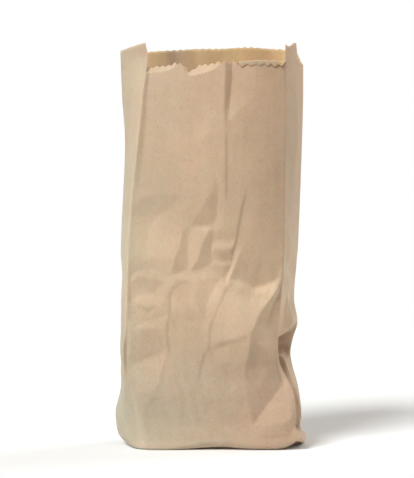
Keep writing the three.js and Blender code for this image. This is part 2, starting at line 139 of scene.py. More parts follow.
# the creased front as flat facets: chains of knots (x, height, lift) along their edges
facetEdges = {
    # the upper front: shallow swells and the groove below the rim
    "leftValley": [(-47, 335, -1.2), (-49.5, 300, -1.4), (-51, 270, -1.5), (-54, 240, -1.3),
                   (-57, 214, -0.6)],
    "leftSwell": [(-40, 335, -0.3), (-41, 300, -0.3), (-40, 262, -0.4), (-41, 225, 0)],
    "middleSwell": [(-24, 335, 1.2), (-27, 287, 0.9), (-23, 240, 1.4)],
    "grooveRidge": [(12.3, 335, 1.6), (12.3, 300, 1.6), (11, 272, 1.4), (10.6, 262, 0.9), (11.8, 252, 0.9),
                    (12, 215, 0.7), (12, 199, 0.1)],
    "grooveValley": [(18.5, 335, -2.6), (18, 300, -2.4), (16, 280, -1.7), (13.9, 264, -0.1), (14.2, 258, 0.5),
                     (13.9, 250, -0.3), (13.7, 222, -0.5), (13.3, 201, -0.2)],
    "rightOfGroove": [(36, 335, 0), (36, 285, 0.4), (38, 245, 0.2), (36, 215, 0.4)],
    # the middle: two tents side by side, with a dark facet over the right one
    "upperLeftLine": [(-60, 189.5, -0.4), (-52, 188, -1), (-44, 187, -1), (-40, 190, -0.9), (-33, 193, -0.6),
                      (-25, 187, 0), (-22, 176, 1)],
    "overUpperLeft": [(-57, 203, 0.6), (-40, 206, 0.7), (-24, 205, 0.8)],
    "leftTent": [(-22, 176, 0.8), (-25, 163, 1.8), (-28.6, 152, 1.6), (-34, 140.5, 0.5)],
    "leftTentFoot": [(-18.6, 175, 0), (-18, 160, -0.4), (-17.6, 147, -0.8)],
    "tentTop": [(-15.5, 176, 0.2), (-8, 176, 1.3), (-1.6, 176, 2)],
    "tentRidge": [(-1.6, 176, 2), (-5, 170, 2.7), (-7, 163, 2.6), (-9, 155, 2), (-14.8, 146.5, 0.3)],
    "tentFoot": [(2.8, 177, 0.3), (1.6, 166, -0.2), (1.6, 157, -0.4), (0, 149, -0.6), (-13, 144.3, -0.7)],
    "darkFacetFoot": [(-15.5, 180, 0), (-8, 180.6, -0.6), (2, 180.4, -0.4)],
    "darkFacetRidge": [(-15.5, 180, 0), (-9.5, 190, 2), (-4, 200, 2.1), (2, 208, 0.9)],
    "darkFacetRight": [(5, 186, -1), (6, 200, -0.8), (7, 212, 0)],
    "underTents": [(-34, 140.5, 0.5), (-24, 143.5, -0.8), (-17.6, 144.6, -0.8), (-13, 144.3, -0.7)],
    "belowTents": [(-31, 131.6, 0.9), (-22.4, 137.2, 1.1), (-9, 135, 1)],
    "darkMark": [(-29, 129.6, 0.5), (-22.4, 133.6, 0.3)],
    # a dimple between the right tent and the slanting crease
    "dimpleTop": [(3.5, 168.4, -0.4), (10, 168.7, -0.7), (17.2, 168, -0.6)],
    "dimpleRidge": [(3.2, 162, 1.3), (10, 161.4, 1.8), (15.5, 162, 1.6)],
    "dimpleFoot": [(2.8, 152.6, -0.7), (9, 152, -0.9), (15, 152.6, -1)],
    "dimpleStep": [(3.4, 149.6, 0.2), (14.4, 149.6, 0)],
    "dimpleFloor": [(3.5, 141, -0.8), (9, 140, -1), (12.6, 139, -0.9)],
    # the crease that slants down from the right, and the ridges that carry it on to the middle
    "slantEdge": [(29, 214, 0.2), (26, 200, 0.5), (22.8, 185, 0.5), (20.6, 172, 0.6), (18, 163, 0.8)],
    "slantFoot": [(30.2, 213, 0.1), (27.4, 200, -0.2), (24.3, 185, -0.4), (22.3, 172, -0.6), (20, 162, -0.8),
                  (17.8, 152, -1), (15.8, 145, -0.9), (13.4, 139.5, -0.8)],
    "slantRidge": [(25.6, 161, 0.2), (21, 153, 0.7), (18, 145, 0.9), (14.8, 137.6, 1), (12, 131, 1.2)],
    "plateauRidge": [(12, 131, 1.2), (9, 124, 1.2), (5, 116, 1.5), (1.5, 107, 2), (-1.5, 100, 2.2)],
    "plateauFoot": [(14, 129, 0.7), (10.6, 122, 0.9), (6.8, 114, 1.2), (3, 106, 1.7)],
    "plateauLeft": [(3, 131, -0.2), (-2, 119, 0.6), (-5, 106, 1.6)],
    "middleRidge": [(-1.5, 100, 2.2), (-3.3, 94, 1.6), (-3, 85, 0.9)],
    "middleFoot": [(-0.8, 98, 1.5), (-0.8, 92, 0.7), (-0.6, 86, 0.2)],
    "shortFold": [(-0.6, 84.6, 0.7), (8, 88.6, 2.4), (16, 90.8, 3.8), (25, 92.4, 5.6)],
    "shortFoldFoot": [(-0.2, 81.6, 0), (9, 85, 0.9), (17, 86.6, 2.4), (26, 87.6, 4.6)],
    # the bend under the flat right part, and the long diagonal ridge below it
    "bend": [(19, 139.5, 0), (24.2, 137.4, -0.9), (29.4, 134.6, -2), (36.4, 131.6, -3.3), (42, 132, -3.2),
             (48, 134.6, -2.2), (52.6, 136.6, -1.2), (57, 138.4, 0)],
    "belowBend": [(19, 134, 1.4), (25, 131.6, 2), (30.4, 128, 2.4), (36, 125.4, 2.8), (42, 126, 2.6),
                  (48, 129.4, 1), (52.6, 133.8, 0.2), (57, 138.4, 0)],
    "overBend": [(27, 156, -0.5), (31, 155, -0.6), (36, 158, -0.5), (42, 156, -0.6), (50, 160, -0.2)],
    "diagonal": [(57, 138.4, 0), (53, 128, 4.2), (45.5, 118, 7), (40, 111, 7.4), (35.5, 102, 7.2),
                 (31, 95, 6.6), (30, 84, 6), (27, 71, 4.4), (26, 62, 3), (29, 48, 1.8), (32, 34, 0.8),
                 (34.5, 20, 0.6)],
    "diagonalLeft": [(30.4, 128, 2.4), (28, 118, 4), (25, 108, 4.8), (23.4, 99, 4.8)],
    "diagonalBand": [(42, 126, 2.8), (38.5, 118, 5.4), (33.4, 110, 6), (28.8, 101, 5.8)],
    "diagonalRight": [(57, 129, 0), (52.4, 121, 0.4), (48.4, 111, 0.2), (45.4, 101, 0.2), (44.4, 91, 1.6),
                      (44.8, 82, 3.4), (45.6, 74, 3.2), (48, 66, 1.6), (59, 54.5, -3.8)],
    # the pressed-in facet at the lower right
    "lowerRightValley": [(59, 54.5, -3.8), (55.4, 49, -3.9), (49.1, 40.6, -3.3), (42.3, 31.6, -2.2),
                         (37.6, 25, -0.8), (34.5, 20, 0.6)],
    "hollowAtThePinch": [(53, 90, -0.4), (52.8, 82, -0.5), (52.8, 74, -0.6), (54, 66, -1.6),
                         (57.4, 60, -2.6)],
    "lowerRightLip": [(34.5, 20, 0.6), (48, 21.4, 2.2), (60, 22.4, 3.9), (64.5, 27, 2.8), (64.5, 38, 0.4)],
    "underLip": [(36, 9, 0.2), (50, 10, 0), (63, 11, 0)],
    # the pressed-in facet at the lower left
    "lowerLeftValley": [(-68, 59, -0.8), (-60, 69, -2.9), (-50, 75, -3.9), (-40.5, 77.5, -2.9)],
    "overLowerLeft": [(-63, 98, 1.2), (-50, 99.5, 2.4), (-39, 99, 1.8)],
    "lowerLeftEdge": [(-40.5, 77.5, -2.9), (-40, 65, 0.3), (-41, 55, 1.4), (-46, 44, 2.2), (-53, 36, 2),
                      (-54, 22, 1.3)],
    "lowerLeftFoot": [(-37.5, 75, -0.8), (-36.6, 64, -0.2), (-37.2, 54, 0.7), (-41.6, 43, 1.2),
                      (-49.4, 33, 1.2), (-50.6, 22, 0.7)],
    "lowerLeftCrest": [(-66, 46, 1.2), (-59, 47, 2.1), (-49, 46, 2.3)],
    "leftEdgeHollow": [(-67, 93, -1), (-67.2, 85, -2.2), (-67.2, 72, -2.2), (-67.8, 64, -1.2)],
    "leftEdgeRidge": [(-63.8, 91, 0.6), (-63.8, 80, -0.8)],
    # the patch on the left edge, over a third of the way up
    "leftPatchOver": [(-64.6, 138, -0.6), (-61, 143, -0.5), (-54, 145, -0.4)],
    "leftPatchTop": [(-64.4, 134, -0.4), (-60, 138, 0.9), (-54, 140, 1.5), (-46.6, 138, 1.4)],
    "leftPatchFoot": [(-64, 125.6, -1.3), (-55, 125.4, -1.1), (-45.4, 126, -0.6)],
    "leftPatchBelow": [(-58, 118, 1), (-50, 116, 1.5), (-40, 117, 1.2)],
    "leftPatchValley": [(-63.4, 120, -1.3), (-57, 114.6, -0.6), (-50.4, 111, -0.5), (-49.6, 104.4, -0.4)],
    # short pleats and low swells
    "pleatRidge": [(-36, 137, 0.5), (-35.6, 124, 0.6), (-33.6, 121, 0.6), (-33.4, 110, 0.5)],
    "pleatFoot": [(-31.7, 121.4, -0.8), (-31.7, 111.6, -0.7)],
    "lowPleatRidge": [(-36.2, 97, 1.6), (-35.6, 86, 0.7), (-34.6, 79, 0.1)],
    "lowPleatFoot": [(-34, 95, 0.3), (-33.2, 86, -0.5), (-32.8, 79, -0.5)],
    "lowMiddleRidge": [(-6.5, 80, 0.6), (-9.6, 70, 0.7), (-10.6, 58, 0.5)],
    "lowMiddleFoot": [(-4.5, 79, -0.1), (-7.8, 69, -0.2), (-8.6, 57, 0)],
    "lowSwell": [(-24, 46, 0.5), (-24.5, 26, 0.6)],
    "lowSwellFoot": [(-19.5, 46, -0.1), (-20.5, 26, 0)],
}
facetKnots = [
    (-12, 300, 2), (-10, 270, 1.5), (-8, 240, 1.8), (2, 292, 1.2), (3, 268, 1.5), (2, 230, 0.9),
    (-14, 215, 1.2), (44, 300, 0.5), (45, 262, 0.3), (46, 230, 0.5), (50, 197, 0.6), (34, 185, 0.4),
    (33, 172, 0.2), (52, 180, 0.5), (-51, 170, -1.2), (-43, 157, 1.2), (-37, 154.6, 1.8), (-54, 152, 0),
    (-38, 179, 0.2), (-32, 168, 1.2), (-44, 147, 0), (10, 178, 0.1), (11, 192, 0), (2, 140, 0.1),
    (-12, 121, 1.7), (-22, 117, 1.3), (-14, 103, 0.2), (-15, 96, 0), (-25, 92, 0.3), (-18, 70, 0.2),
    (-27, 62, 0.1), (5, 72, 0.9), (14, 62, 0.8), (16, 44, 0.2), (4, 50, 0.1), (-8, 40, 0.2), (2, 26, 0),
    (20, 24, 0.1), (-34, 30, 0.3), (-62, 34, 1.6), (13, 103, 3.2), (18, 112, 3.2), (20, 123, 2.4),
    (11, 108, 2.2), (53, 106, -0.4), (50.6, 97, -0.6), (38, 70, 1.6), (38, 50, -0.4), (36, 86, 4.2),
    (61, 45, -1.8), (54.6, 37, -0.8), (46, 28, 0.2), (-20, 14, 0), (10, 12, 0), (-50, 12, 0.2),
]

# the right side's front half, pressed into a pocket low down: its knots are (distance from the front fold,
# height, lift)
pocketEdges = {
    "upperRidge": [(20, 335, 0), (22, 300, 0.6), (26, 250, 1.2), (22, 215, 0.4), (18, 190, 0.3)],
    "upperBendRidge": [(4, 163, 0.3), (16, 159, 0.9), (32, 157, 0.6)],
    "upperBend": [(2, 157, 0), (10, 151, -0.7), (20, 146, -1), (34, 142, -0.5)],
    "underUpperBend": [(3, 141, 0.3), (16, 137, 0.8), (31, 133, 0.9)],
    "paleBand": [(16, 126, 0.9), (17, 117, 2.4), (21, 109, 3)],
    "besidePaleBand": [(27, 122, -0.5), (29, 112, -0.7), (33, 106, 0)],
    "lip": [(2, 91, 0.5), (7, 91.7, 1.4), (12, 93.5, 2.3), (20, 97.5, 3), (29, 101.5, 2.8), (37, 103, 1)],
    "underLip": [(2, 89, -2), (6, 88.5, -8), (13, 88.8, -12.5), (21, 90, -12.5), (29, 92, -8), (37, 94, -2)],
    "pocketBack": [(3, 81, -5), (9, 80.5, -13), (17, 80.5, -15.5), (26, 81, -14), (36, 82, -6)],
    "pocketFloor": [(3, 75.6, -3), (8, 76, -5), (14, 76.2, -4.6), (21, 75.6, -3.6), (28, 74.6, -2.4),
                    (37, 74, -0.5)],
    "sliverTop": [(2.5, 73.6, -4.5), (8, 73.4, -11), (15, 72.8, -11.5), (21.5, 72, -4)],
    "sliverBack": [(3, 66, -6), (7, 65.5, -12), (11, 62, -10.5), (9, 56, -9), (6, 50, -7), (6.5, 43, -6.4),
                   (7, 35, -6.4), (6.5, 28, -5)],
    "sliverRight": [(25, 72, 0.4), (22, 67, 1.4), (19.5, 61, 1.6), (17, 55, 1.4), (15, 49.5, 1.1),
                    (15.5, 42, 1), (16, 34, 1), (15, 26, 0.8)],
    "outerBand": [(33, 70, 0.6), (32, 58, 0.9), (29, 49, 0.2)],
    "lowValley": [(27, 44, -1), (28, 34, -1.8), (27, 24, -1.2)],
    "notch": [(2.5, 25.5, -1), (4.5, 22, -7), (5.5, 18.5, -6), (4, 15, -0.4)],
    "notchRight": [(12, 21, 0.6), (12, 17, 0.8)],
}
pocketKnots = [(10, 270, 0.3), (34, 280, 0.2), (10, 230, 0), (34, 200, 0.2), (8, 180, 0.1), (30, 175, 0),
               (8, 112, 0.2), (7, 101, 0.3), (36, 87, -1.5), (30, 64, 0.6), (30, 12, 0.2), (12, 8, 0.2)]

# creases of the other side panels, as chains of knots (distance from the front or back fold, height, rise,
# left, right): the paper is lifted by rise, or pressed in below zero, and slopes off over left and right
gussetCreases = {
    "rightBackGusset": [
        [(1, 106, 1, 8, 6), (14, 98, 2.2, 12, 8), (30, 100, 0, 8, 6)],
        [(2, 80, -1, 8, 8), (16, 84, -4, 16, 14), (34, 90, 0, 8, 8)],
        [(4, 190, 0, 8, 8), (20, 178, 1.2, 10, 8), (36, 172, 0, 8, 8)],
    ],
    "leftFrontGusset": [
        [(4, 60, 0, 6, 6), (18, 70, -1.2, 10, 8), (34, 66, 0, 6, 6)],
        [(9, 50, 0, 8, 12), (9, 62, -2.6, 8, 16), (9, 86, -2.6, 8, 16), (9, 99, 0, 8, 12)],
        [(6, 150, 0, 6, 6), (16, 165, 1, 9, 9), (30, 190, 0, 8, 8)],
    ],
    "leftBackGusset": [
        [(4, 120, 0, 6, 6), (20, 130, 1.4, 12, 10), (38, 124, 0, 8, 8)],
        [(8, 230, 0, 6, 6), (22, 222, -1.2, 10, 10), (36, 232, 0, 8, 8)],
    ],
}

# chance crumples all over the sheet
crumpleField = {"halfWidth": 75, "halfDepth": 42, "onFrontOrBack": 0.6, "slant": 0.9}
crumples = [
    {"seed": 7, "count": 90, "heights": (20, 320), "rise": (0.15, 0.5), "reach": (4, 12),
     "radius": (14, 45)},
    {"seed": 11, "count": 300, "heights": (15, 200), "rise": (0.1, 0.42), "reach": (1.8, 5),
     "radius": (6, 20)},
    {"seed": 5, "count": 70, "heights": (200, 310), "rise": (0.05, 0.16), "reach": (2, 6),
     "radius": (8, 24)},
]

# where the front rim bends, how far it leans in (in degrees, below zero outwards), and how long it is cut
frontRim = {
    "bend": lineThrough([(-53, 303), (-48, 304.6), (-40, 304.6), (-32, 306.4), (-27, 309), (-22, 307),
                         (-17.6, 301), (-8, 302), (0, 304.4), (5, 307), (8, 309), (19, 309.6), (22, 311.6),
                         (30, 312.4), (44, 313), (56, 313), (62, 312.6)]),
    "lean": lineThrough([(-53, 20), (-48, 36), (-34, 36), (-29, 10), (-24, 10), (-21, 30), (-17.6, 42),
                         (-8, 40), (0, 36), (5, 18), (8, 8), (16, 4), (19.4, 4), (20.6, -90), (21.8, -171),
                         (57, -171), (60, -140)]),
    "cut": lineThrough([(-53, 309), (-46, 312), (-36, 312.2), (-28, 312.4), (-21, 310), (-17.6, 307),
                        (-14, 309.4), (-10, 313), (0, 312.8), (8, 312.4), (18.4, 312.8), (19.8, 311.6),
                        (21.2, 311.8), (23, 316.4), (30, 317.6), (44, 318.2), (56, 318.2), (61, 315)]),
    "bendLength": 0.6,
    "step": 0.25,
    "straightAbove": 312,
}
# the underside: how far the edge of the base stands off the floor, and rings towards the middle of the base,
# as scale and part of the edge's lift
base = {
    "frontLift": lineThrough([(-75, 1.6), (-66, 1), (-58, 0), (-30, 0.2), (-14, 0.8), (0, 1.6), (12, 1.8),
                              (24, 1), (52, 0.6), (58, 1.4), (66, 4.4), (72, 6), (78, 6)]),
    "sideLift": lineThrough([(60, 5), (72, 5.4), (75, 2), (78, 0.6)]),
    "liftHeight": 16,
    "frontRadius": lineThrough([(-60, 2.5), (-34, 2.5), (-18, 5), (0, 8), (14, 8), (28, 5), (44, 3),
                                (70, 2.5)]),
    "roundedBelow": 9,
    "rings": [(0.5, 0), (0.8, 0), (0.93, 0.1)],
}
# how high the ears of the gussets are cut, from front to back
earCuts = {
    "left": lineThrough([(-40, 329), (-26, 328.4), (0, 326.4), (18, 326), (32, 330)]),
    "right": lineThrough([(-38, 327.5), (-34, 327.5), (-26, 326), (-12, 330), (-10.5, 320), (-9, 318.5),
                          (0, 314), (9, 317), (18, 326), (32, 331.5)]),
}
# knots without lift all round a facet mesh
facetBorder = {"low": -4, "high": 340, "step": 12, "parts": 10, "mergeWithin": 0.05}


def facetMesh(chains, loose, leftEnd, rightEnd):
    # the knots joined into triangles that keep to the edges
    knots, wanted = [], []
    for chain in chains.values():
        wanted += [(len(knots) + i, len(knots) + i + 1) for i in range(len(chain) - 1)]
        knots += chain
    knots += loose
    low, high, parts = facetBorder["low"], facetBorder["high"], facetBorder["parts"]
    for z in range(low, high + 1, facetBorder["step"]):
        knots += [(leftEnd(z), z, 0), (rightEnd(z), z, 0)]
    for i in range(1, parts):
        knots += [(leftEnd(z) + (rightEnd(z) - leftEnd(z)) * i / parts, z, 0) for z in (low, high)]
    flat = [Vector((x, z)) for x, z, lift in knots]
    found = delaunay_2d_cdt(flat, wanted, [], 0, facetBorder["mergeWithin"])
    corners, edges, sources = found[0], found[1], found[3]
    lifts = [knots[source[0]][2] if source else 0 for source in sources]
    if not all(sources):
        crossings = [corner for corner, source in zip(corners, sources) if not source]
        print("crossing facet edges near", [(round(x), round(z)) for x, z in crossings])
    return [((corners[a], lifts[a]), (corners[b], lifts[b])) for a, b in edges]


facetSides = {
    "front": facetMesh(facetEdges, facetKnots, folds["leftFront"], folds["rightFront"]),
    "rightFrontGusset": facetMesh(pocketEdges, pocketKnots, lambda z: 0, lambda z: sheet["pocketWidth"]),
}


@functools.cache
def facetRow(panel, z):
    # where the facets' edges cross a height, and the lift there
    row = []
    for (a, liftA), (b, liftB) in facetSides[panel]:
        if (a.y <= z) != (b.y <= z):
            t = (z - a.y) / (b.y - a.y)
            row.append((a.x + (b.x - a.x) * t, liftA + (liftB - liftA) * t))
    row.sort()
    return row


def facetLift(panel, x, z):
    row = facetRow(panel, z)
    i = bisect.bisect_left(row, (x, 0))
    if i in (0, len(row)):
        return 0
    (before, liftBefore), (after, liftAfter) = row[i - 1], row[i]
    if after - before < 0.001:
        return liftAfter
    return liftBefore + (liftAfter - liftBefore) * (x - before) / (after - before)


def creaseRelief(knots, across, z):
    # the relief of a chain is that of its strongest stretch
    lift = 0
    for start, end in zip(knots, knots[1:]):
        dx, dz = end[0] - start[0], end[1] - start[1]
        length = math.hypot(dx, dz)
        along = ((across - start[0]) * dx + (z - start[1]) * dz) / length
        aside = ((across - start[0]) * dz - (z - start[1]) * dx) / length
        beyond = max(-along, along - length, 0)
        share = min(max(along / length, 0), 1)
        rise, left, right = (a + (b - a) * share for a, b in zip(start[2:], end[2:]))
        here = rise * max(0, 1 - math.hypot(aside, beyond) / (left if aside < 0 else right))
        if abs(here) > abs(lift):
            lift = here
    return lift


def crumpleLines(lot):
    draw = random.Random(lot["seed"])
    width, depth = crumpleField["halfWidth"], crumpleField["halfDepth"]
    lines = []
    for i in range(lot["count"]):
        x, y = draw.uniform(-width, width), draw.uniform(-depth, depth)
        if draw.random() < crumpleField["onFrontOrBack"]:
            y = draw.choice((-depth, depth))
        centre = Vector((x, y, draw.uniform(*lot["heights"])))
        tilt = draw.gauss(0, crumpleField["slant"])
        turn = draw.uniform(0, math.pi)
        across = Vector((math.cos(turn) * math.cos(tilt), math.sin(turn) * math.cos(tilt), math.sin(tilt)))
        rise = draw.choice((-1, 1)) * draw.uniform(*lot["rise"])
        lines.append((centre, across, rise, draw.uniform(*lot["reach"]), draw.uniform(*lot["radius"])))
    return lines


crumpleList = [line for lot in crumples for line in crumpleLines(lot)]


@functools.cache
def crumplesNear(z):
    return [line for line in crumpleList if abs(line[0].z - z) < line[4]]


def crumpleAt(point):
    lift = 0
    for centre, across, rise, reach, radius in crumplesNear(point.z):
        away = point - centre
        ridge = 1 - abs(away.dot(across)) / reach
        if ridge > 0:
            lift += rise * ridge * max(0, 1 - away.length / radius)
    return lift


@functools.cache
def cornersAt(z):
    # the six folds at a height, from the front left one round by the right
    def depth(x, creaseX):
        return math.sqrt(folds["halfGusset"] ** 2 - (creaseX - x) ** 2)

    middle = folds["gussetDepth"]
    left, right = folds["leftCrease"](z), folds["rightCrease"](z)
    frontLeft, frontRight = folds["leftFront"](z), folds["rightFront"](z)
    backLeft, backRight = folds["leftBack"](z), folds["rightBack"](z)
    return [Vector(corner) for corner in (
        (frontLeft, middle - depth(frontLeft, left)),
        (frontRight, middle - depth(frontRight, right) + folds["pinch"](z)),
        (right, middle), (backRight, middle + depth(backRight, right)),
        (backLeft, middle + depth(backLeft, left)), (left, middle))]


@functools.cache
def swellsAt(z):
    return {side: swell(z) for side, swell in swells.items()}


panelPlace = {name: place for place, (name, count) in enumerate(sheet["panels"])}


def loopPoint(panel, share, z):
    # the sheet's point at a height and a share from 0 to 1 along a panel, and which way is outward there
    corners = cornersAt(z)
    start, end = corners[panelPlace[panel]], corners[(panelPlace[panel] + 1) % 6]
    across = end - start
    width = across.length
    outward = Vector((across.y, -across.x)) / width
    point = start + across * share
    fade = min(1, share * width / sheet["reliefFade"], (1 - share) * width / sheet["reliefFade"])
    side = panel if panel in ("front", "back") else "left" if panel.startswith("left") else "right"
    lift = swellsAt(z)[side] * 4 * share * (1 - share)
    if panel == "front":
        lift += roll["height"](z) * roll["shape"](share) + fade * facetLift(panel, point.x, z)
    elif panel == "back":
        foot = min(1, z / sheet["backWaveFoot"])
        lift += fade * foot * sheet["backWaveDepth"] * math.sin(2 * math.pi * sheet["backWaves"] * share)
    elif panel == "rightFrontGusset":
        lift += fade * facetLift(panel, share * sheet["pocketWidth"], z)
    else:
        place = share * width if panel == "leftBackGusset" else (1 - share) * width
        lift += fade * sum(creaseRelief(knots, place, z) for knots in gussetCreases[panel])
    portion = min(1, fade + sheet["crumplesOnFolds"]) * min(1, z / sheet["crumplesFullFrom"])
    lift += portion * crumpleAt(Vector((point.x, point.y, z)))
    soft = folds["softLeft"](z)
    away = share * width if panel == "front" else (1 - share) * width
    if soft and panel in ("front", "leftFrontGusset") and away < soft:
        # the fold low on the left is a soft bend
        point = point + sheet["softEdgePush"] * (soft * (1 - away / soft) ** 2)
    return point + outward * lift, outward


def columnPlaces():
    # the panel and the share along it of each column of the sheet
    return [(name, i / count) for name, count in sheet["panels"] for i in range(count)]


def insetPoint(before, point, after, distance):
    ahead, behind = (after - point).normalized(), (point - before).normalized()
    inward = Vector((-ahead.y - behind.y, ahead.x + behind.x)).normalized()
    return point + inward * distance


def perimeterPlaces():
    # how far round the sack each column is, for the paper's UV map
    corners = cornersAt(sheet["bodyTop"])
    places = [0]
    for i, (name, count) in enumerate(sheet["panels"]):
        step = (corners[(i + 1) % 6] - corners[i]).length / count
        places += [places[-1] + step * (j + 1) for j in range(count)]
    return places


perimeter = perimeterPlaces()


def bodyRowHeight(row):
    return sheet["bodyTop"] * (row / sheet["bodyRows"]) ** sheet["rowGrowth"]


def stripOf(mesh, columns, rows, placeOf, uvOf):
    # a grid of columns by rows whose points go where placeOf(column, row) says
    grid = bmesh.ops.create_grid(mesh, x_segments=columns, y_segments=rows, size=0.5)
    uvLayer = mesh.loops.layers.uv.verify()
    places = {}
    for vert in grid["verts"]:
        places[vert] = (round((vert.co.x + 0.5) * columns), round((vert.co.y + 0.5) * rows))
    faces = {face for vert in grid["verts"] for face in vert.link_faces}
    for face in faces:
        for loop in face.loops:
            loop[uvLayer].uv = uvOf(*places[loop.vert])
    for vert, (column, row) in places.items():
        vert.co = placeOf(column, row)


def edgeLift(panel, x, z):
    # the front edge of the base doesn't quite touch the floor, and its right corner is turned up
    if panel == "front":
        lift = base["frontLift"](x)
    elif panel == "rightFrontGusset":
        lift = base["sideLift"](x)
    else:
        return 0
    return lift * max(0, 1 - z / base["liftHeight"])


def roundingAt(panel, x, z):
    # how far the rounded edge of the base has drawn in
    radius = base["frontRadius"](x) if panel == "front" else sheet["baseRadius"]
    edge = max(0, radius - z)
    return radius - math.sqrt(radius ** 2 - edge ** 2)


def sackBody(mesh):
    places = columnPlaces()
    total = len(places)
    rings = []
    for row in range(sheet["bodyRows"] + 1):
        z = bodyRowHeight(row)
        ring = [loopPoint(panel, share, z)[0] for panel, share in places]
        if z < base["roundedBelow"]:
            roundings = [roundingAt(panel, point.x, z) for (panel, share), point in zip(places, ring)]
            following = ring[1:] + ring[:1]
            ring = [insetPoint(ring[i - 1], ring[i], following[i], roundings[i]) for i in range(total)]
        lifts = [edgeLift(panel, point.x, z) for (panel, share), point in zip(places, ring)]
        rings.append([Vector((point.x, point.y, z + lift)) * mm for point, lift in zip(ring, lifts)])
    under = [[Vector((point.x * scale, point.y * scale, point.z * rise)) for point in rings[0]]
             for scale, rise in base["rings"]]
    rings = under + rings

    def placeOf(column, row):
        return rings[row][column % total]

    def uvOf(column, row):
        return perimeter[column] * mm, bodyRowHeight(max(0, row - len(under))) * mm

    stripOf(mesh, total, len(rings) - 1, placeOf, uvOf)
    bmesh.ops.remove_doubles(mesh, verts=mesh.verts, dist=sheet["mergeWithin"] * mm)
    openEdges = [edge for edge in mesh.edges if edge.is_boundary]
    innerRing = [edge for edge in openEdges if edge.verts[0].co.z < sheet["bodyTop"] / 2 * mm]
    bmesh.ops.edgeloop_fill(mesh, edges=innerRing)


def toothAt(place):
    # 0 in a valley, 1 at a tip
    return 1 - abs(place % 1 - 0.5) * 2


def frontRimPoint(column, row):
    # goes up along the paper in short steps, which turn by the lean where it bends
    share = column / sheet["panels"][0][1]
    start = sheet["bodyTop"]
    x = loopPoint("front", share, start)[0].x
    cut = frontRim["cut"](x) - sheet["toothDepth"] * (1 - toothAt(sheet["frontTeeth"](share)))
    length = (cut - start) * row / sheet["frontRimRows"]
    bend, lean = frontRim["bend"](x), math.radians(frontRim["lean"](x))
    z, inward, travelled = start, 0, 0
    while travelled < length:
        part = min(frontRim["step"], length - travelled)
        over = min(1, max(0, (start + travelled - bend) / frontRim["bendLength"] + 0.5))
        z += part * math.cos(lean * over)
        inward += part * math.sin(lean * over)
        travelled += part
    point, outward = loopPoint("front", share, min(z, frontRim["straightAbove"]))
    place = point - outward * inward
    return Vector((place.x, place.y, z)) * mm


sidePlaces = columnPlaces()[sheet["panels"][0][1]:] + [("leftFrontGusset", 1)]


def sideRimPoint(column, row):
    name, share = sidePlaces[column]
    start = sheet["bodyTop"]
    flat, outward = loopPoint(name, share, start)
    if name == "back":
        top = sheet["backCut"](flat.x) - sheet["backToothDepth"] * (1 - toothAt(share * sheet["backTeeth"]))
    else:
        top = earCuts["left" if name.startswith("left") else "right"](flat.y)
    z = start + (top - start) * row / sheet["backRimRows"]
    point, outward = loopPoint(name, share, z)
    return Vector((point.x, point.y, z)) * mm


def makeSack():
    mesh = bmesh.new()
    sackBody(mesh)
    frontCount = sheet["panels"][0][1]
    sideCount = len(sidePlaces) - 1

    def frontUv(column, row):
        return perimeter[column] * mm, (sheet["bodyTop"] + row) * mm

    def sideUv(column, row):
        return perimeter[frontCount + column] * mm, (sheet["bodyTop"] + row * sheet["rimRowHeight"]) * mm

    stripOf(mesh, frontCount, sheet["frontRimRows"], frontRimPoint, frontUv)
    stripOf(mesh, sideCount, sheet["backRimRows"], sideRimPoint, sideUv)
    bmesh.ops.remove_doubles(mesh, verts=mesh.verts, dist=sheet["mergeWithin"] * mm)
    bmesh.ops.recalc_face_normals(mesh, faces=mesh.faces)
    for face in mesh.faces:
        # the large face underneath stays flat
        face.smooth = len(face.verts) == 4
    data = bpy.data.meshes.new("paperSack")
    mesh.to_mesh(data)
    mesh.free()
    piece = bpy.data.objects.new("paperSack", data)
    bpy.context.collection.objects.link(piece)
    thickness = piece.modifiers.new("paper", "SOLIDIFY")
    thickness.thickness = sheet["paper"] * mm
    thickness.offset = -1
    # the inner face has the second material, the cut edges the first
    thickness.material_offset = 1
    thickness.material_offset_rim = 0
    return piece


sackPiece = makeSack()
print("sack made:", len(sackPiece.data.polygons), "faces")


class Wire:
    # a node's output, so that sums of outputs read as sums
    def __init__(self, tree, socket):
        self.tree = tree
        self.socket = socket

    def node(self, kind, settings=None, values=None, out=0):
        made = self.tree.nodes.new(kind)
        for name, value in (settings or {}).items():
            if name == "stops":
                ramp = made.color_ramp
                while len(ramp.elements) > len(value):
                    ramp.elements.remove(ramp.elements[-1])
                while len(ramp.elements) < len(value):
                    ramp.elements.new(0.5)
                for element, (place, colour) in zip(ramp.elements, value):
                    element.position = place
                    element.color = colour
            else:
                setattr(made, name, value)
        for name, value in (values or {}).items():
            if isinstance(value, Wire):
                self.tree.links.new(value.socket, made.inputs[name])
            else:
                made.inputs[name].default_value = value
        return Wire(self.tree, made.outputs[out])

    def maths(self, operation, first, second):
        return self.node("ShaderNodeMath", {"operation": operation}, {0: first, 1: second})

    def clamped(self):
        return self.node("ShaderNodeClamp", {}, {"Value": self})

    def __add__(self, other):
        return self.maths("ADD", self, other)

    def __radd__(self, other):
        return self.maths("ADD", other, self)

    def __sub__(self, other):
        return self.maths("SUBTRACT", self, other)

    def __rsub__(self, other):
        return self.maths("SUBTRACT", other, self)

    def __mul__(self, other):
        return self.maths("MULTIPLY", self, other)

    def __rmul__(self, other):
        return self.maths("MULTIPLY", other, self)

    def __gt__(self, other):
        return self.maths("GREATER_THAN", self, other)

    def __lt__(self, other):
        return self.maths("LESS_THAN", self, other)
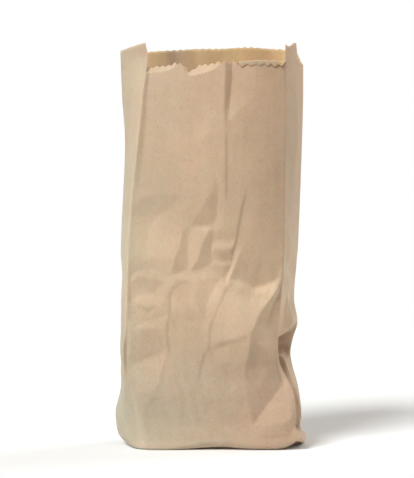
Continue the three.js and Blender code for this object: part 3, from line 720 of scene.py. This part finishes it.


# noise in the paper: its weight in the colour and in the bump, and how fine it is across and up; the clouds
# only vary the tints and the painted bands of light and shade inside
grain = {
    "mottle": {"inColour": 0.7, "inBump": 0, "fineness": (90, 90), "detail": 3, "roughness": 0.5},
    "streaks": {"inColour": 0.4, "inBump": 0, "fineness": (260, 12), "detail": 3, "roughness": 0.5},
    "fibres": {"inColour": 1, "inBump": 0.5, "fineness": (1600, 260), "detail": 2, "roughness": 0.6},
    "crossFibres": {"inColour": 0.7, "inBump": 0.4, "fineness": (300, 1500), "detail": 2, "roughness": 0.6},
    "puckers": {"inColour": 0, "inBump": 3, "fineness": (210, 150), "detail": 3, "roughness": 0.6},
    "clouds": {"inColour": 0, "inBump": 0, "fineness": (14, 14), "detail": 2, "roughness": 0.5},
}
kraft = {
    # the darker and the lighter colour that the grain goes between
    "kraftOutside": ((0.475, 0.367, 0.255, 1), (0.555, 0.444, 0.323, 1)),
    "kraftInside": ((0.51, 0.402, 0.252, 1), (0.585, 0.478, 0.32, 1)),
    # painted light and shade on the inside, in bands side by side from the left: darker for soft shadows in
    # the mouth, lighter where light falls in
    "insideLightAndShade": [(0, (1.02, 1.02, 0.96, 1)), (0.14, (1.02, 1.03, 0.96, 1)),
                      (0.19, (0.82, 0.8, 0.86, 1)), (0.27, (0.84, 0.8, 0.8, 1)),
                      (0.37, (0.84, 0.8, 0.72, 1)), (0.42, (1.05, 1.02, 0.98, 1)),
                      (0.55, (1.04, 1.06, 0.95, 1)), (0.66, (0.92, 0.92, 0.8, 1)),
                      (0.72, (0.99, 0.97, 0.84, 1)), (1, (0.98, 0.96, 0.86, 1))],
    "insideBandsFrom": -55,
    "insideBandsPerMetre": 8.7,
    "insideBandsWander": 0.12,
    # where something fades in along one axis, from none to full
    "turnedOver": (-34, -36.5),
    # painted light: a band across the middle height is painted paler between these ends
    "paintedLightUnder": (200, 160),
    "paintedLightOver": (105, 121.7),
    "oliveBelow": (60, 0),
    "foot": (105, 49.4),
    "rightPart": (10, 35),
    "leftEdge": (-58, -69.1),
    # partly painted light and shade in the hue: the paper is tinted more olive on the lit left and at the
    # foot, as cooler light, and more rosy on the shaded right, as warmer shade; some clouds make it more olive
    # at random
    "oliveFrom": 12,
    "olivePerMetre": 9,
    "oliveAtFoot": 0.36,
    "oliveClouds": 1.6,
    "rosyTint": (1, 0.95, 0.925, 1),
    "oliveTint": (0.94, 0.985, 1, 1),
    # painted shade: the foot of the sack, its right part, and the fold on the left are painted greyer and
    # darker
    "footPaintedShade": (0.9, 0.92, 0.95, 1),
    "rightFootPaintedShade": (0.925, 0.89, 0.905, 1),
    "edgeTint": (0.91, 0.94, 0.95, 1),
    # how much paler the painted light makes the middle band
    "paintedLightAmount": 0.06,
    # soft spots of painted light and painted shade: the centre, how far they reach, and the change there
    "paintedLightSpots": [(28, -44, 117, 34, 0.16), (56, -31, 103, 30, 0.28), (2, -43, 128, 22, 0.12),
                    (-8, -43, 236, 36, 0.09), (-55, -35, 178, 18, 0.1), (-40, -41, 94, 26, -0.1),
                    (-10, -46, 92, 26, -0.12), (-54, -37, 143, 16, -0.1), (54, -31, 60, 20, -0.12),
                    (6, -43, 262, 24, 0.06), (-34, -41, 166, 24, 0.07), (60, -36, 7, 30, -0.08),
                    (-73, -5, 88, 60, -0.07), (60, -33, 275, 34, 0.08), (68, -20, 322, 46, 0.12)],
    "fleckCells": 420,
    "darkFleck": {"size": 0.22, "chance": 0.14, "strength": 0.2, "colour": (0.25, 0.16, 0.085, 1)},
    "paleFleck": {"size": 0.26, "chance": 0.12, "strength": 0.12, "colour": (0.66, 0.54, 0.38, 1)},
    "roughness": 0.82,
    "roughnessChange": 0.15,
    "specular": 0.25,
    "bumpStrength": 0.5,
    "bumpHeight": 0.12,
    "subsurface": 0.8,
    "subsurfaceRadius": (1, 0.5, 0.3),
    "subsurfaceScale": 0.6,
}


def noiseOf(place, lot):
    across, up = lot["fineness"]
    scaled = place.node("ShaderNodeMapping", {}, {"Vector": place, "Scale": (across, up, 1)})
    return place.node("ShaderNodeTexNoise", {"noise_dimensions": "2D"},
                      {"Vector": scaled, "Scale": 1, "Detail": lot["detail"], "Roughness": lot["roughness"]})


def mixOf(share, first, second):
    # a colour mix takes its factor at 0 and its colours at 6 and 7, and gives the result at 2
    return share.node("ShaderNodeMix", {"data_type": "RGBA"}, {0: share, 6: first, 7: second}, out=2)


def tinted(colour, tint, share=1):
    return colour.node("ShaderNodeMix", {"data_type": "RGBA", "blend_type": "MULTIPLY"},
                       {0: share, 6: colour, 7: tint}, out=2)


def fadeIn(value, ends):
    # rises from 0 to 1 between the ends
    start, end = ends
    return ((value - start * mm) * (1 / ((end - start) * mm))).clamped()


def flecked(colour, place):
    # flecks in small cells of the paper: a cell gives its distance at 0 and its centre at 2
    def cellsOf(out):
        return place.node("ShaderNodeTexVoronoi", {"voronoi_dimensions": "2D"},
                          {"Vector": place, "Scale": kraft["fleckCells"]}, out=out)

    away = cellsOf(0)
    luck = place.node("ShaderNodeTexWhiteNoise", {"noise_dimensions": "3D"}, {"Vector": cellsOf(2)})
    dark, pale = kraft["darkFleck"], kraft["paleFleck"]
    darkShare = (away < dark["size"]) * (luck > 1 - dark["chance"]) * dark["strength"]
    paleShare = (away < pale["size"]) * (luck < pale["chance"]) * pale["strength"]
    return mixOf(paleShare, mixOf(darkShare, colour, dark["colour"]), pale["colour"])


def insideColour(colour, outside, x, y, clouds):
    # painted light and shade in bands across the inside, and the outside's colour where the front rim is
    # turned over
    along = (x - kraft["insideBandsFrom"] * mm) * kraft["insideBandsPerMetre"] + clouds * kraft["insideBandsWander"]
    lightAndShadeBands = along.node("ShaderNodeValToRGB", {"stops": kraft["insideLightAndShade"]}, {"Fac": along})
    return mixOf(fadeIn(y, kraft["turnedOver"]), tinted(colour, lightAndShadeBands), outside)


def paintLightAndShade(colour, spot, z):
    # painted light and shade: a band across the middle height is painted a little paler, and the soft spots
    # are painted lighter or darker
    portion = fadeIn(z, kraft["paintedLightUnder"]) * fadeIn(z, kraft["paintedLightOver"])
    lightAndShade = 1 + portion * kraft["paintedLightAmount"]
    for *centre, reach, change in kraft["paintedLightSpots"]:
        ends = {0: spot, 1: Vector(centre) * mm}
        away = spot.node("ShaderNodeVectorMath", {"operation": "DISTANCE"}, ends, out=1)
        lightAndShade = lightAndShade + (1 - away * (1 / (reach * mm))).clamped() * change
    return colour.node("ShaderNodeVectorMath", {"operation": "SCALE"}, {0: colour, 3: lightAndShade})


def kraftMaterial(name):
    material = bpy.data.materials.new(name)
    material.use_nodes = True
    tree = material.node_tree
    shader = tree.nodes["Principled BSDF"]
    place = Wire(tree, tree.nodes.new("ShaderNodeUVMap").outputs["UV"])
    spot = Wire(tree, tree.nodes.new("ShaderNodeTexCoord").outputs["Object"])
    x, y, z = (spot.node("ShaderNodeSeparateXYZ", {}, {"Vector": spot}, out=axis) for axis in range(3))
    noises = {kind: noiseOf(place, lot) for kind, lot in grain.items()}
    weights = {kind: lot["inColour"] for kind, lot in grain.items() if lot["inColour"]}
    blend = 0.5 + sum((noises[kind] - 0.5) * weight for kind, weight in weights.items())
    clouds = noises["clouds"] - 0.5
    colour = mixOf(blend, *kraft[name])
    if name == "kraftInside":
        colour = insideColour(colour, mixOf(blend, *kraft["kraftOutside"]), x, y, clouds)
    # painted light and shade in the hue: olive on the lit left and at the foot, rosy on the shaded right, with
    # random clouds
    olive = (kraft["oliveFrom"] * mm - x) * kraft["olivePerMetre"] + clouds * kraft["oliveClouds"]
    olive = olive + fadeIn(z, kraft["oliveBelow"]) * kraft["oliveAtFoot"]
    colour = tinted(colour, mixOf(olive.clamped(), kraft["rosyTint"], kraft["oliveTint"]))
    # painted light and shade: a paler middle band and soft lighter and darker spots
    colour = paintLightAndShade(colour, spot, z)
    # painted shade: the foot of the sack and the fold on the left are painted a little greyer and darker
    foot, atRight = fadeIn(z, kraft["foot"]), fadeIn(x, kraft["rightPart"])
    colour = tinted(colour, kraft["footPaintedShade"], foot * (1 - atRight))
    colour = tinted(colour, kraft["rightFootPaintedShade"], foot * atRight)
    colour = tinted(colour, kraft["edgeTint"], fadeIn(x, kraft["leftEdge"]))
    colour = flecked(colour, place)
    tree.links.new(colour.socket, shader.inputs["Base Color"])
    rough = kraft["roughness"] + (noises["fibres"] - 0.5) * kraft["roughnessChange"]
    tree.links.new(rough.socket, shader.inputs["Roughness"])
    height = sum(noises[kind] * lot["inBump"] for kind, lot in grain.items() if lot["inBump"])
    bumpValues = {"Height": height, "Strength": kraft["bumpStrength"], "Distance": kraft["bumpHeight"] * mm}
    bump = place.node("ShaderNodeBump", {}, bumpValues)
    tree.links.new(bump.socket, shader.inputs["Normal"])
    shader.inputs["Specular IOR Level"].default_value = kraft["specular"]
    shader.inputs["Subsurface Weight"].default_value = kraft["subsurface"]
    shader.inputs["Subsurface Radius"].default_value = kraft["subsurfaceRadius"]
    shader.inputs["Subsurface Scale"].default_value = kraft["subsurfaceScale"] * mm
    return material


for side in ("kraftOutside", "kraftInside"):
    sackPiece.data.materials.append(kraftMaterial(side))
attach(sackPiece, "root")
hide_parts("sack")
print("kraft paper on the sack")

# floor, light and camera
studio = {
    "floorSides": (-900, 900), "floorFrontAndBack": (-150, 1600),
    "floorColour": (0.84, 0.84, 0.84, 1), "floorRoughness": 0.9,
    "ambient": 0.44, "ambientColour": (1, 0.92, 0.84, 1), "backdrop": 1, "backdropColour": (1, 1, 1, 1),
    "keyFrom": (-0.43, -0.6, 0.66), "keyStrength": 3.65, "keySpread": 24, "keyColour": (0.93, 0.97, 0.98),
    "sideFrom": (0.8, 0.55, 0.4), "sideStrength": 1.6, "sideSpread": 35, "sideColour": (0.9, 0.96, 1),
    "cameraDistance": 1200, "cameraHeight": 170, "cameraSide": -2.4, "lens": 113,
}


def makeFloor():
    mesh = bmesh.new()
    bmesh.ops.create_grid(mesh, x_segments=1, y_segments=1, size=0.5)
    for vert in mesh.verts:
        x, y = studio["floorSides"][vert.co.x > 0], studio["floorFrontAndBack"][vert.co.y > 0]
        vert.co = Vector((x, y, 0)) * mm
    data = bpy.data.meshes.new("studioFloor")
    mesh.to_mesh(data)
    mesh.free()
    floor = bpy.data.objects.new("studioFloor", data)
    bpy.context.collection.objects.link(floor)
    material = bpy.data.materials.new("paleFloor")
    material.use_nodes = True
    shader = material.node_tree.nodes["Principled BSDF"]
    shader.inputs["Base Color"].default_value = studio["floorColour"]
    shader.inputs["Roughness"].default_value = studio["floorRoughness"]
    floor.data.materials.append(material)


def softSun(name):
    lamp = bpy.data.lights.new(name, "SUN")
    lamp.energy = studio[name + "Strength"]
    lamp.color = studio[name + "Colour"]
    lamp.angle = math.radians(studio[name + "Spread"])
    light = bpy.data.objects.new(name, lamp)
    light.rotation_euler = (-Vector(studio[name + "From"])).to_track_quat("-Z", "Y").to_euler()
    bpy.context.collection.objects.link(light)


def makeSky():
    # a white backdrop for the camera, and a dimmer even light on the sack
    world = bpy.data.worlds.new("studio")
    bpy.context.scene.world = world
    world.use_nodes = True
    tree = world.node_tree
    background = tree.nodes["Background"]
    seen = Wire(tree, tree.nodes.new("ShaderNodeLightPath").outputs["Is Camera Ray"])
    colour = mixOf(seen, studio["ambientColour"], studio["backdropColour"])
    tree.links.new(colour.socket, background.inputs["Color"])
    strength = studio["ambient"] + seen * (studio["backdrop"] - studio["ambient"])
    tree.links.new(strength.socket, background.inputs["Strength"])


def makeCamera():
    lens = bpy.data.cameras.new("camera")
    lens.lens = studio["lens"]
    camera = bpy.data.objects.new("camera", lens)
    away = folds["halfGusset"] + studio["cameraDistance"]
    camera.location = Vector((studio["cameraSide"], -away, studio["cameraHeight"])) * mm
    camera.rotation_euler = (math.pi / 2, 0, 0)
    bpy.context.collection.objects.link(camera)
    bpy.context.scene.camera = camera


bpy.context.scene.view_settings.view_transform = "Standard"
makeSky()
makeFloor()
softSun("key")
softSun("side")
makeCamera()
print("studio ready")
